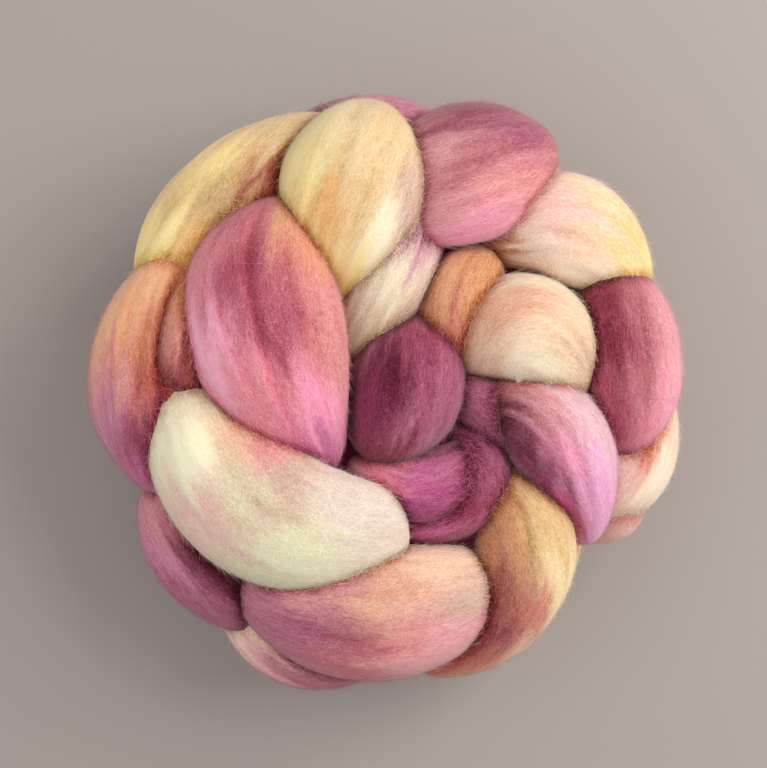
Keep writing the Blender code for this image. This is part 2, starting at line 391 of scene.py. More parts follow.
# %% Colours of the dyes
SCREEN_TOP = 255
DARK_LIMIT, DARK_SLOPE = 0.04045, 12.92
LIGHT_SHIFT, LIGHT_SCALE, LIGHT_POWER = 0.055, 1.055, 2.4
DYES = {
    "cream": (227, 214, 186), "pale_cream": (246, 234, 206), "shell": (246, 224, 202),
    "oat": (214, 198, 186), "stone": (206, 196, 166), "mint_cream": (219, 217, 182),
    "pale_mint": (242, 240, 204),
    "blush_cream": (230, 206, 188), "apricot_cream": (230, 200, 162), "primrose": (232, 210, 164),
    "pale_lemon": (248, 226, 160), "butter": (228, 202, 150), "straw": (242, 212, 150),
    "honey": (226, 190, 134), "gold": (226, 176, 118),
    "dull_gold": (214, 186, 144), "olive_tan": (190, 162, 118), "khaki": (205, 174, 126),
    "beige": (213, 192, 164), "dark_beige": (204, 174, 150), "taupe": (192, 162, 146),
    "sand": (210, 162, 138), "tan": (205, 150, 114),
    "peach": (231, 194, 168), "apricot": (238, 180, 140), "ochre": (214, 150, 94),
    "amber": (194, 142, 98), "chestnut": (182, 126, 92), "clay": (206, 140, 114),
    "terracotta": (194, 106, 84), "clay_rose": (192, 118, 106), "rust": (176, 90, 76),
    "brick": (154, 74, 68), "brown": (150, 86, 74), "salmon": (229, 150, 130),
    "rosy_clay": (202, 134, 132), "dusty_salmon": (216, 150, 146), "blush": (227, 187, 178),
    "dusty_pink": (207, 146, 152), "blush_rose": (220, 156, 164), "rose_pink": (220, 138, 152),
    "pink": (232, 154, 178), "bright_pink": (236, 152, 180), "light_pink": (248, 172, 196),
    "lilac_grey": (204, 170, 176), "orchid_pink": (228, 164, 200), "old_rose": (194, 118, 136),
    "dusty_rose": (172, 104, 114), "rose": (190, 104, 120), "deep_rose": (162, 78, 98),
    "raspberry": (200, 84, 130), "lilac": (198, 128, 156), "orchid": (188, 104, 146),
    "dull_orchid": (168, 98, 124), "magenta": (154, 70, 112), "mauve": (156, 88, 112),
    "dusty_mauve": (182, 118, 138), "berry": (144, 64, 88), "maroon": (130, 46, 66),
    "plum": (124, 40, 76), "dark_plum": (98, 26, 54),
}


def colour_of(dye):
    """A dye's colour as light."""
    screen = np.array(DYES[dye]) / SCREEN_TOP
    light = ((screen + LIGHT_SHIFT) / LIGHT_SCALE) ** LIGHT_POWER
    return np.where(screen < DARK_LIMIT, screen / DARK_SLOPE, light)


print("dyes:", len(DYES))

# %% [markdown]
# The pools of the face folds, each pool as (share, turn, dye). The folds of the back take the
# runs of the same dyes in turn.

# %% Pools of dye
POOLS = {
    # butter_rim: the olive tan and gold pools on its inner side are painted shade where it meets its
    # neighbours; the brick and rust there are partly its dye and partly painted shade; the pale lemon at
    # its left end is partly its dye and partly painted light, for the shade that end gets
    "butter_rim": (
        (0.30, 40, "pale_lemon"), (0.14, 60, "pale_lemon"), (0.60, 65, "straw"), (0.80, 35, "dull_gold"),
        (0.55, 25, "olive_tan"), (0.38, 0, "gold"), (0.70, 6, "brick"), (0.62, -25, "rust"),
        (0.50, 120, "butter"),
    ),
    "orange_rim": (
        (0.05, 180, "apricot"), (0.15, 130, "apricot"), (0.35, 115, "apricot"), (0.35, 155, "clay"),
        (0.30, 180, "terracotta"), (0.52, 125, "dusty_salmon"), (0.48, 160, "rust"), (0.68, 148, "berry"),
        (0.65, 120, "lilac"), (0.80, 165, "orchid"),
    ),
    "mauve_inner": (
        (0.15, 140, "ochre"), (0.38, 145, "dusty_salmon"), (0.60, 150, "brick"), (0.85, 155, "mauve"),
    ),
    "plum_rim": (
        (0.20, 190, "dusty_pink"), (0.40, 160, "lilac"), (0.55, 152, "dull_orchid"),
        (0.50, 200, "dark_plum"), (0.68, 210, "dark_plum"), (0.75, 165, "mauve"), (0.30, 205, "old_rose"),
    ),
    "dusty_rim": (
        (0.25, 190, "shell"), (0.42, 205, "shell"), (0.40, 175, "blush_rose"),
        (0.55, 185, "mauve"), (0.72, 155, "rose"), (0.85, 170, "mauve"),
    ),
    "salmon_bean": (
        (0.12, 170, "dusty_mauve"), (0.28, 178, "dusty_pink"), (0.30, 145, "dull_orchid"),
        (0.45, 138, "dusty_rose"), (0.60, 170, "sand"), (0.85, 190, "peach"), (0.92, 150, "taupe"),
        (0.62, 132, "dusty_salmon"), (0.45, 110, "rose"), (0.72, 108, "blush_rose"),
    ),
    "gold_hook": (
        (0.10, 40, "chestnut"), (0.28, 5, "chestnut"), (0.28, 72, "khaki"), (0.48, 84, "primrose"),
        (0.56, 5, "brown"), (0.68, 25, "maroon"), (0.60, 50, "clay_rose"), (0.70, 80, "peach"),
        (0.82, 20, "rust"), (0.92, 55, "clay"),
    ),
    "peach_rim": (
        (0.40, -15, "terracotta"), (0.55, -35, "blush"), (0.50, 20, "shell"), (0.75, -5, "shell"),
        (0.30, 15, "peach"),
    ),
    "maroon_rim": (
        (0.25, -10, "maroon"), (0.45, 5, "maroon"), (0.70, -10, "deep_rose"), (0.30, 30, "dusty_rose"),
        (0.55, 34, "dusty_rose"), (0.32, 62, "dusty_pink"), (0.58, 60, "blush_rose"),
        (0.80, 48, "rose_pink"), (0.74, 66, "pink"),
    ),
    # lemon_rim: the chestnut pool at its start is painted shade, where it dives under the rose rim
    "lemon_rim": (
        (0.12, 10, "chestnut"), (0.28, 14, "blush_cream"), (0.35, 60, "blush"), (0.45, 40, "blush"),
        (0.42, 85, "blush"), (0.65, -15, "shell"), (0.58, 16, "peach"), (0.58, 75, "apricot_cream"),
        (0.75, 55, "honey"), (0.90, 35, "straw"),
    ),
    "rose_rim": (
        (0.35, 75, "dusty_pink"), (0.55, 90, "berry"), (0.70, 60, "mauve"), (0.45, 52, "dusty_rose"),
        (0.25, 35, "dusty_pink"), (0.50, 20, "dusty_salmon"), (0.20, -10, "pink"), (0.42, -5, "pink"),
        (0.72, 15, "rosy_clay"), (0.92, 45, "dusty_rose"),
    ),
    "mauve_rim": ((0.30, 55, "mauve"), (0.70, 50, "dusty_mauve")),
    "primrose_petal": (
        (0.50, 50, "pale_lemon"), (0.35, 80, "primrose"), (0.30, 120, "dull_gold"),
        (0.58, 102, "dull_gold"), (0.64, 74, "gold"), (0.82, 92, "pale_lemon"), (0.72, 125, "pale_cream"),
        (0.60, 155, "taupe"), (0.92, 115, "pale_lemon"),
    ),
    "beige_band": (
        (0.12, 120, "mauve"), (0.32, 130, "dull_orchid"), (0.45, 110, "lilac_grey"), (0.62, 112, "cream"),
        (0.72, 145, "taupe"), (0.88, 125, "beige"),
    ),
    "rose_petal": (
        (0.18, 80, "rose"), (0.12, 122, "tan"), (0.25, 155, "clay"), (0.32, 55, "rose_pink"),
        (0.55, 60, "light_pink"), (0.38, 95, "deep_rose"), (0.55, 115, "deep_rose"),
        (0.45, 168, "rosy_clay"), (0.68, 160, "rosy_clay"), (0.66, 98, "rose_pink"),
        (0.74, 74, "rose_pink"), (0.80, 120, "bright_pink"), (0.94, 110, "orchid"),
    ),
    # cream_bean: the rosy clay pool on its upper edge by the rose petal is partly rose dye and partly a
    # painted reflection of the petal's pink
    "cream_bean": (
        (0.15, 130, "cream"), (0.30, 112, "pale_mint"), (0.45, 98, "blush"),
        (0.30, 170, "sand"), (0.46, 180, "rosy_clay"), (0.50, 125, "stone"), (0.60, 150, "taupe"),
        (0.70, 90, "mint_cream"), (0.80, 165, "oat"), (0.85, 130, "oat"),
    ),
    "plum_petal": (
        (0.45, 60, "dark_plum"), (0.30, 25, "mauve"), (0.70, 60, "plum"), (0.22, 85, "berry"),
        (0.45, 130, "mauve"), (0.65, 118, "dull_orchid"), (0.86, 110, "maroon"),
    ),
    "gold_bump": (
        (0.25, 110, "amber"), (0.40, 70, "tan"), (0.52, 110, "amber"), (0.75, 90, "clay_rose"),
    ),
    # cream_shell: the beige pool near its edge by the maroon rim is painted shade
    "cream_shell": (
        (0.15, 20, "shell"), (0.22, 62, "peach"), (0.30, 120, "sand"), (0.40, 90, "sand"),
        (0.50, 135, "cream"), (0.64, 110, "beige"), (0.60, 74, "peach"), (0.78, 80, "dark_beige"),
        (0.38, 40, "shell"), (0.62, 38, "cream"),
    ),
    "orchid_arc": (
        (0.25, 100, "rosy_clay"), (0.42, 106, "lilac_grey"), (0.56, 96, "lilac_grey"),
        (0.22, 50, "dark_plum"), (0.40, 22, "dark_plum"), (0.35, 74, "dusty_pink"), (0.52, 60, "pink"),
        (0.60, 18, "plum"), (0.64, 78, "orchid_pink"), (0.80, 5, "raspberry"),
        (0.76, 56, "orchid_pink"), (0.92, 40, "orchid_pink"),
    ),
    "magenta_curl": (
        (0.20, 150, "rose_pink"), (0.50, 132, "orchid"), (0.72, 136, "dull_orchid"),
        (0.50, 98, "magenta"), (0.95, 145, "plum"),
    ),
    "plum_curl": (
        (0.12, 50, "magenta"), (0.25, 50, "dull_orchid"), (0.45, 40, "mauve"), (0.65, 50, "berry"),
        (0.88, 40, "orchid"),
    ),
    "dark_curl": ((0.35, 40, "dull_orchid"), (0.75, 40, "mauve")),
}
BACK_RUNS = (
    ("blush", "peach", "dusty_salmon"), ("honey", "apricot", "salmon"), ("salmon", "rose", "orchid"),
    ("orchid", "magenta", "plum"), ("peach", "dusty_pink", "rose"), ("plum", "mauve", "pink"),
    ("dusty_pink", "blush", "rose_pink"), ("apricot", "dull_gold", "peach"),
)
BACK_LEAN = 60


def back_pools(number):
    """The pools of one fold of the back: three dyes along it, the middle ones to the sides."""
    first, second, third = BACK_RUNS[number % len(BACK_RUNS)]
    lean = BACK_LEAN if number % 2 else -BACK_LEAN
    return ((0.10, 90, first), (0.45, 90 + lean, second), (0.60, 90 - lean, third), (0.95, 90, third))


for number, fold in enumerate(back_folds):
    POOLS[fold.name] = back_pools(number)
print("pools of dye:", sum(len(pools) for pools in POOLS.values()))

# %% [markdown]
# The colour at a place is the mean of the fold's pools, each counted by how near it is. The place is
# first moved along the wool by a ragged amount, which draws the dye out into locks. The bottoms of the
# furrows get painted shade: light goes from fibre to fibre there and is dyed at each of them, and this is
# painted into the colour by raising it to a power, which makes it darker and deeper and hardly changes a
# pale one.

# %% Colour at a place
POOL_CORE = 5.5
RAGGED_COUNTS = np.array((7, 13, 21, 31))
RAGGED_REACHES = np.array((3.0, 2.5, 2.0, 1.5))
RAGGED_SHIFT = 3
SWAY_TURN, SWAY_PACE = math.radians(5), 9
FURROW_PAINTED_SHADE = 0.22


def dye_and_furrow_shade_at(fold, turn, share):
    """The colour of the wool at places on a fold, with painted shade in its furrows."""
    own, slow, _, _ = waves[fold.name]
    along = share * lengths[fold.name]
    strand = turn - slant_of(fold) * share
    for lock, count in enumerate(RAGGED_COUNTS):
        ragged = np.sin(count * strand + own[lock] + RAGGED_SHIFT * share)
        along = along + RAGGED_REACHES[lock] * ragged
    swayed = turn + SWAY_TURN * np.sin(SWAY_PACE * share + slow[0])
    total = np.zeros(share.shape + (3,))
    weights = np.zeros(share.shape)
    for pool_share, pool_turn, dye in POOLS[fold.name]:
        gap = (along - pool_share * lengths[fold.name]) ** 2
        gap = gap + gap_round(fold, swayed, math.radians(pool_turn)) ** 2
        weight = 1 / (gap + POOL_CORE**2) ** 2
        total += weight[..., None] * colour_of(dye)
        weights += weight
    # painted shade: the colour in the furrows is raised to a power, darker and deeper
    power = 1 + FURROW_PAINTED_SHADE * furrow_depth(fold, turn, share)
    return (total / weights[..., None]) ** power[..., None]


print("most pools on one fold:", max(len(pools) for pools in POOLS.values()))

# %% [markdown]
# ## Writing shader maths
#
# A material is a tree of nodes joined by wires. Adding and multiplying by hand takes a node for
# every sign, so a small class stands for the end of a wire and lets Python's own signs add the
# nodes: 0.5 * mask adds a Math node that multiplies. One method adds any other kind of node.

# %% A wire that can be reckoned with
class Wire:
    """An output in a material's tree. On its own, without a socket, it is the tree's start."""

    def __init__(self, tree, socket=None):
        self.tree = tree
        self.socket = socket

    def node(self, kind, settings, sockets, output=0):
        """Adds a node: first its settings, then the values or wires of its sockets."""
        added = self.tree.nodes.new(kind)
        for name, value in settings.items():
            setattr(added, name, value)
        for name, value in sockets.items():
            if isinstance(value, Wire):
                self.tree.links.new(value.socket, added.inputs[name])
            else:
                added.inputs[name].default_value = value
        return Wire(self.tree, added.outputs[output])

    def reckon(self, sign, first, second):
        """A Math node on two numbers or wires."""
        return self.node("ShaderNodeMath", {"operation": sign}, {0: first, 1: second})

    def __add__(self, other):
        return self.reckon("ADD", self, other)

    def __mul__(self, other):
        return self.reckon("MULTIPLY", self, other)

    __radd__ = __add__
    __rmul__ = __mul__


def new_material(name):
    """An empty material and the start of its tree."""
    material = bpy.data.materials.new(name)
    material.use_nodes = True
    return material, Wire(material.node_tree)


def feed(material, sockets):
    """Sets the sockets of a material's shader, or runs wires into them."""
    shader = material.node_tree.nodes["Principled BSDF"]
    for name, value in sockets.items():
        if isinstance(value, Wire):
            material.node_tree.links.new(value.socket, shader.inputs[name])
        else:
            shader.inputs[name].default_value = value


print("signs that add nodes: + and *")

# %% [markdown]
# ## The look of combed wool
#
# Wool is matt, but light grazes the ends of its fibres, so its edges glow softly: that is the
# sheen. Its fibres are crimped, so its surface is a frizz of short wavy streaks that follow the
# strands. They come from a noise pattern on a map of each fold, measured in centimetres across
# and along it, squeezed across and shaken by a second noise. A finer even noise is the fuzz.
#
# The streaks are the fibres' own uneven tone, and between the fibres the colour gets painted shade, as in
# the furrows: a Gamma node raises it to a power, darker in the gaps and lighter on the fibres, so a plum
# fold gets dark streaks and a cream one stays nearly even, like the real wool. The same streaks, as a
# Bump, catch the light. The dye, with the painted shade of the furrows and creases, is stored in the
# points under the name "dye".

# %% Dyed wool, with painted shade between the fibres
MATT = {
    "Sheen Weight": 0.25, "Sheen Roughness": 0.5, "Sheen Tint": (1.0, 0.90, 0.86, 1),
    "Specular IOR Level": 0.1,
}
CRIMPS = 700.0
CRIMP = 0.22
FUZZ_SCALE = 1900.0
STREAK_DETAIL = 2.0
LOCK_PART, FIBRE_PART, FUZZ_PART = 0.22, 0.48, 0.30
WOOL_BUMP = 0.6 * MM


def crimped(start):
    """The fold's map in centimetres, shaken a little, because wool is wavy."""
    flow = start.node("ShaderNodeUVMap", {"uv_map": "flow"}, {})
    spot = start.node("ShaderNodeTexCoord", {}, {}, output="Object")
    shake = start.node("ShaderNodeTexNoise", {}, {"Vector": spot, "Scale": CRIMPS}, output="Color")
    moved = start.node("ShaderNodeMapping", {}, {"Vector": shake, "Scale": (CRIMP, CRIMP, 0)})
    return start.node("ShaderNodeVectorMath", {"operation": "ADD"}, {0: flow, 1: moved})


def streaks(start, flow, across, along):
    """Noise on the fold's map, with this many streaks to a centimetre across and along."""
    drawn = start.node("ShaderNodeMapping", {}, {"Vector": flow, "Scale": (across, along, 1)})
    return start.node(
        "ShaderNodeTexNoise", {"noise_dimensions": "2D"},
        {"Vector": drawn, "Scale": 1.0, "Detail": STREAK_DETAIL, "Roughness": 0.6},
    )


dyed_wool, start = new_material("dyed_wool")
dye = start.node("ShaderNodeAttribute", {"attribute_name": "dye"}, {}, output="Color")
flow = crimped(start)
locks = streaks(start, flow, across=3.2, along=0.45)
fibres = streaks(start, flow, across=26.0, along=5.0)
spot = start.node("ShaderNodeTexCoord", {}, {}, output="Object")
fuzz = start.node(
    "ShaderNodeTexNoise", {}, {"Vector": spot, "Scale": FUZZ_SCALE, "Detail": STREAK_DETAIL}
)
streak = LOCK_PART * locks + FIBRE_PART * fibres + FUZZ_PART * fuzz
# painted shade between the fibres: where the streaks are low the dye is raised to a higher power and gets
# darker
power = start.node(
    "ShaderNodeMapRange", {},
    {"Value": streak, "From Min": 0.40, "From Max": 0.60, "To Min": 1.32, "To Max": 0.82},
)
colour = start.node("ShaderNodeGamma", {}, {"Color": dye, "Gamma": power})
bump = start.node("ShaderNodeBump", {}, {"Strength": 0.5, "Distance": WOOL_BUMP, "Height": streak})
feed(dyed_wool, {"Base Color": colour, "Normal": bump, "Roughness": 0.85, **MATT})
print("nodes in", dyed_wool.name, len(dyed_wool.node_tree.nodes))

# %% [markdown]
# ## Making a fold
#
# A fold starts as a ball, with its two poles for ends. The ball's own height, from pole to pole,
# is the share along the fold, and the turn round the ball is the turn round the fold: each point
# is moved to that place on the skin. The turns are crowded towards the top of the fold, where
# there is most to see. The ball brings a map with it that has no overlaps, which is kept under
# the name the export looks for. From it a second map is worked out, in centimetres, that follows
# the strands, slantwise where they turn round the fold.

# %% From a ball to a fold
FACE_NET = (80, 54)
BACK_NET = (56, 28)
MM_IN_CM = 10
MAP_STEP = 7.3
CROWD = 0.4


def ball(name, sides, bands):
    """A ball that is to become a piece."""
    bpy.ops.mesh.primitive_uv_sphere_add(segments=sides, ring_count=bands, radius=1)
    piece = bpy.context.object
    piece.name = piece.data.name = name
    return piece


def read_points(mesh):
    """Every point of a mesh as a row of x, y and z."""
    places = np.empty(3 * len(mesh.vertices), np.float32)
    mesh.vertices.foreach_get("co", places)
    return places.reshape(-1, 3).astype(float)


def turn_and_share(points):
    """The turn and the share that each point of a ball stands for. The map's cut is below."""
    turn = np.arctan2(points[:, 1], points[:, 0]) + math.pi / 2
    return turn, (1 - points[:, 2]) / 2


def crowded(turn):
    """Even turns moved towards the top of a fold."""
    return turn + CROWD * np.cos(turn)


def store_dye_and_painted_light(mesh, colours):
    """Keeps a colour for each point of a mesh."""
    store = mesh.attributes.new("dye", "FLOAT_COLOR", "POINT")
    store.data.foreach_set("color", np.column_stack([colours, np.ones(len(colours))]).ravel())


def add_flow_map(mesh, fold, number):
    """The map in centimetres that follows the strands, apart from every other fold's."""
    mesh.uv_layers[0].name = "OFBake"
    flow = mesh.uv_layers.new(name="flow")
    spots = np.empty(2 * len(mesh.loops), np.float32)
    mesh.uv_layers["OFBake"].data.foreach_get("uv", spots)
    across, along = spots.reshape(-1, 2).T
    share = 1 - along
    turn = crowded(math.tau * across - math.pi / 2)
    radius = (fold.half_width + fold.half_depth) / 2 / MM_IN_CM
    across = radius * (turn - slant_of(fold) * share) + MAP_STEP * number
    along = share * lengths[fold.name] / MM_IN_CM
    flow.data.foreach_set("uv", np.column_stack([across, along]).ravel())


def make_fold(number, fold):
    """One fold as a piece, with its shape, its dye and its maps."""
    sides, bands = FACE_NET if fold in FACE_FOLDS else BACK_NET
    piece = ball(fold.name, sides, bands)
    turn, share = turn_and_share(read_points(piece.data))
    turn = crowded(turn)
    places, _ = skin(fold, turn, share)
    piece.data.vertices.foreach_set("co", places.astype(np.float32).ravel())
    store_dye_and_painted_light(piece.data, dye_and_furrow_shade_at(fold, turn, share))
    add_flow_map(piece.data, fold, number)
    piece.data.materials.append(dyed_wool)
    bpy.ops.object.shade_smooth()
    return piece


fold_pieces = [make_fold(number, fold) for number, fold in enumerate(folds)]
print("folds:", len(fold_pieces), "faces:", sum(len(piece.data.polygons) for piece in fold_pieces))

# %% [markdown]
# Where two folds press on each other the wool is crushed and hardly any light gets in, so a fine dark
# crease of shade runs along the line where they meet, and that shade is painted into the dye. Each point
# of a fold looks for the nearest neighbour, and the nearer it is, the darker and deeper the painted shade
# in its colour becomes.

# %% Painted shade in the creases between folds
CREASE_REACH = 5 * MM
CREASE_WIDTH = 2.0 * MM
CREASE_POWER = 0.9
CREASE_SHADE = 0.25


def gaps_to_neighbours(piece, trees):
    """How far each point of a fold is from the nearest skin of another fold."""
    points = read_points(piece.data)
    gaps = np.full(len(points), CREASE_REACH)
    for name, (tree, low, high) in trees.items():
        if name == piece.name:
            continue
        near = np.all((points > low - CREASE_REACH) & (points < high + CREASE_REACH), axis=1)
        for number in np.flatnonzero(near):
            gap = tree.find_nearest(points[number], CREASE_REACH)[3]
            if gap is not None:
                gaps[number] = min(gaps[number], gap)
    return gaps


def paint_crease_shade(piece, trees):
    """Paints shade into the dye of a fold along its neighbours, darker and deeper."""
    crease = np.exp(-(gaps_to_neighbours(piece, trees) / CREASE_WIDTH) ** 2)[:, None]
    store = piece.data.attributes["dye"]
    colours = np.empty(4 * len(crease), np.float32)
    store.data.foreach_get("color", colours)
    colours = colours.reshape(-1, 4)
    # painted shade: darker and deeper colour along the line where folds meet
    colours[:, :3] = colours[:, :3] ** (1 + CREASE_POWER * crease) * (1 - CREASE_SHADE * crease)
    store.data.foreach_set("color", colours.ravel())
    return int((crease > 0.5).sum())


view = bpy.context.evaluated_depsgraph_get()
trees = {}
for piece in fold_pieces:
    points = read_points(piece.data)
    trees[piece.name] = (BVHTree.FromObject(piece, view), points.min(axis=0), points.max(axis=0))
print("points in creases:", sum(paint_crease_shade(piece, trees) for piece in fold_pieces))

# %% [markdown]
# ## The wool inside
#
# Between the folds one can look down into the bun, on wool of the deepest colour, which is partly its dye
# and partly painted shade for the deep gaps between the folds. It is a flat pillow with a round rim, from
# a ball whose points are pushed out towards a box. It lies a little inside the core of the solid model.

# %% Core
CORE_RADIUS = 79 * MM
CORE_HALF_HEIGHT = 16 * MM
CORE_HEIGHT = 41 * MM
CORE_SQUARENESS = 3.0
CORE_SINK = 1.5 * MM
CORE_SIDES, CORE_BANDS = 64, 24
POLE_GAP = 1e-4
CORE_BUMP = 2 * MM
FACTOR, FIRST_COLOUR, SECOND_COLOUR, MIXED_COLOUR = 0, 6, 7, 2

core = ball("inner_wool", CORE_SIDES, CORE_BANDS)
points = read_points(core.data)
rise = np.copysign(np.abs(points[:, 2]) ** (2 / CORE_SQUARENESS), points[:, 2])
ring = np.hypot(points[:, 0], points[:, 1])
reach = ring ** (2 / CORE_SQUARENESS) / np.maximum(ring, POLE_GAP)
points[:, :2] *= (CORE_RADIUS - CORE_SINK) * reach[:, None]
points[:, 2] = CORE_HEIGHT + (CORE_HALF_HEIGHT - CORE_SINK) * rise
core.data.vertices.foreach_set("co", points.astype(np.float32).ravel())
bpy.ops.object.shade_smooth()

inner_wool, start = new_material("inner_wool")
spot = start.node("ShaderNodeTexCoord", {}, {}, output="Object")
cloud = start.node("ShaderNodeTexNoise", {}, {"Vector": spot, "Scale": 60.0, "Detail": 6.0})
patch = start.node("ShaderNodeMapRange", {}, {"Value": cloud, "From Min": 0.40, "From Max": 0.62})
# dark plum and plum: partly the wool's dye, partly painted shade for the deep gaps between folds
dyes = {FIRST_COLOUR: (*colour_of("dark_plum"), 1), SECOND_COLOUR: (*colour_of("plum"), 1)}
colour = start.node(
    "ShaderNodeMix", {"data_type": "RGBA"}, {FACTOR: patch, **dyes}, output=MIXED_COLOUR
)
bump = start.node("ShaderNodeBump", {}, {"Strength": 0.6, "Distance": CORE_BUMP, "Height": cloud})
feed(inner_wool, {"Base Color": colour, "Normal": bump, "Roughness": 0.95, **MATT})
core.data.materials.append(inner_wool)
print("core:", [round(size / MM) for size in core.dimensions], "mm")

# %% [markdown]
# ## Loose hairs
#
# Wool is never quite smooth: tens of thousands of hairs lie loose on it, and some stand off, so
# that every edge has a faint halo. A hair is modelled once, as a ball with three sides: a closed
# spindle that is thickest in its middle. It is copied thousands of times with arrays. Each copy
# is drawn out along a path on the skin of its fold, which follows the strands, wanders a little
# and lifts off the wool.
#
# The table has three kinds: long hairs that lie down, short ones that curl, and fuzz that stands
# off with one end. Per kind: how many lie on a square centimetre of the face, shortest and
# longest length, half thickness, bands of the ball, how high it lies and how far its free end
# stands off, all in millimetres, and by how many degrees it runs askew to the strands.

# %% Kinds of hair
Hair = namedtuple("Hair", "name dense short long thick bands lie stand skew")
HAIRS = (
    Hair("lying", 3, 10, 24, 0.030, 5, 0.15, 0.3, 12),
    Hair("curled", 16, 4, 10, 0.030, 4, 0.25, 1.0, 45),
    Hair("fuzz", 54, 2.5, 6, 0.032, 2, 0.10, 2.6, 55),
)
BACK_DENSE = 0.4
BARE_END = 0.01
UNDER_SKIN = -2.2 * MM

surface_tree = BVHTree.FromObject(solid, bpy.context.evaluated_depsgraph_get())


def shows(places):
    """Which places lie on the outside of the bun, and not inside the heap."""
    seen = np.zeros(len(places), bool)
    for number, place in enumerate(places):
        nearest, normal, _, _ = surface_tree.find_nearest(place)
        seen[number] = (Vector(place) - nearest).dot(normal) > UNDER_SKIN
    return seen


def draw_hairs(draw, fold, hair):
    """Where the hairs of one kind start on a fold, and how much of its length each one takes."""
    length = lengths[fold.name]
    area = math.pi * (fold.half_width + fold.half_depth) * length / MM_IN_CM**2
    dense = hair.dense if fold in FACE_FOLDS else hair.dense * BACK_DENSE
    count = int(dense * area)
    span = draw.uniform(hair.short, hair.long, count) / length
    share = draw.uniform(BARE_END, 1 - BARE_END, count)
    turn = draw.uniform(0, math.tau, count)
    chosen = draw.uniform(0, 1, count) < swelling(fold, share)
    middle, _ = skin(fold, turn[chosen], share[chosen])
    outside = shows(middle)
    return turn[chosen][outside], share[chosen][outside], span[chosen][outside]


print("faces of the outside that hairs are tested against:", len(solid.data.polygons))

# %% [markdown]
# A hair's path has one place for each band of points of the ball. It is worked out for all hairs
# of a kind at once. The path bends as a whole and in a wave. One flat side of the hair looks out
# of the wool, and its thickness is set off from the path, square to the way that the path runs.
#
# Each hair keeps one colour, that of the wool under its middle, a little lighter or darker by chance, and
# lighter than the wool as painted light, for the light that the hairs catch. Its map lies in one of four
# tiles, one for each fold that shares the piece.

# %% Laying the hairs of one fold
HAIR_SIDES = 3
WANDER = 1.8
BEND_PACE, BEND_START = 3, 9
END_SHARE = 0.004
LEAST_RISE, MOST_RISE = 0.2, 1.6
STANDING_FEW, STANDING_LATE = 2, 1.6
FLAT_SIDE_UP = math.pi / 2
BAND_DIGITS = 5
TINY = 1e-9
PALE_SPREAD = 0.12
HAIR_PAINTED_LIGHT, BRIGHTEST = 1.35, 0.93
TILE_COLUMNS, TILE_FILL = 2, 0.98
HAIR_MAP_WIDTH = 0.012


def hair_paths(draw, fold, hair, turn, share, span, way):
    """The path of each hair, with one place for each share of the way along the hair."""
    count = len(turn)
    girth = (fold.half_width + fold.half_depth) / 2
    askew = draw.normal(0, math.radians(hair.skew), (count, 1))
    run = span[:, None] * (way - 0.5)
    share = np.clip(share[:, None] + run * np.cos(askew), END_SHARE, 1 - END_SHARE)
    bend = draw.normal(0, WANDER / girth, (count, 3))
    turn = turn[:, None] + run * (slant_of(fold) + np.sin(askew) * lengths[fold.name] / girth)
    wave = np.sin(BEND_PACE * way + BEND_START * bend[:, 2:])
    turn = turn + bend[:, :1] * (way - 0.5) + bend[:, 1:2] * wave
    place, out = skin(fold, turn, share)
    rise = hair.lie * draw.uniform(LEAST_RISE, MOST_RISE, (count, 1)) * np.sin(math.pi * way)
    stand = hair.stand * draw.uniform(0, 1, (count, 1)) ** STANDING_FEW * way**STANDING_LATE
    place = place + MM * (rise + stand)[..., None] * out
    place[..., 2] = np.maximum(place[..., 2], LIE)
    return place, out, turn, share


def lay_hairs(draw, fold, hair, pattern, tile):
    """The points, normals, colours and map places of all hairs of one kind on a fold."""
    turn, share, span = draw_hairs(draw, fold, hair)
    around_hair, way = turn_and_share(pattern)
    around_hair = around_hair + FLAT_SIDE_UP
    thick = np.hypot(pattern[:, 0], pattern[:, 1]) * hair.thick * MM
    order, band = np.unique(np.round(way, BAND_DIGITS), return_inverse=True)
    place, out, turn, share = hair_paths(draw, fold, hair, turn, share, span, order)
    run = unit(np.gradient(place, axis=1) + TINY)
    beside = unit(np.cross(run, out))
    above = np.cross(beside, run)
    points = place[:, band] + thick[:, None] * (
        np.cos(around_hair)[:, None] * beside[:, band] + np.sin(around_hair)[:, None] * above[:, band]
    )
    middle = len(order) // 2
    colours = dye_and_furrow_shade_at(fold, turn[:, middle], share[:, middle])
    pale = np.exp(draw.normal(0, PALE_SPREAD, len(colours)))[:, None]
    # painted light: every hair is made lighter than the wool under it
    colours = np.minimum(colours * pale * HAIR_PAINTED_LIGHT, BRIGHTEST)
    low = np.array((tile % TILE_COLUMNS, tile // TILE_COLUMNS)) / TILE_COLUMNS
    near = turn[:, middle:middle + 1] / math.tau
    across = (near % 1 + turn / math.tau - near)[:, band] + HAIR_MAP_WIDTH * np.cos(around_hair)
    spots = np.stack([np.clip(across, 0, 1), 1 - share[:, band]], axis=-1)
    spots = low + spots * TILE_FILL / TILE_COLUMNS
    return points, out[:, band], np.repeat(colours[:, None], len(pattern), axis=1), spots


def hair_pattern(hair):
    """One hair as a ball with three sides: its points and its faces."""
    piece = ball(hair.name, HAIR_SIDES, hair.bands)
    points = read_points(piece.data)
    faces = [tuple(face.vertices) for face in piece.data.polygons]
    bpy.data.objects.remove(piece)
    return points, faces


patterns = {hair.name: hair_pattern(hair) for hair in HAIRS}
for name, (points, faces) in patterns.items():
    print(name, "hair, points:", len(points), "faces:", len(faces))

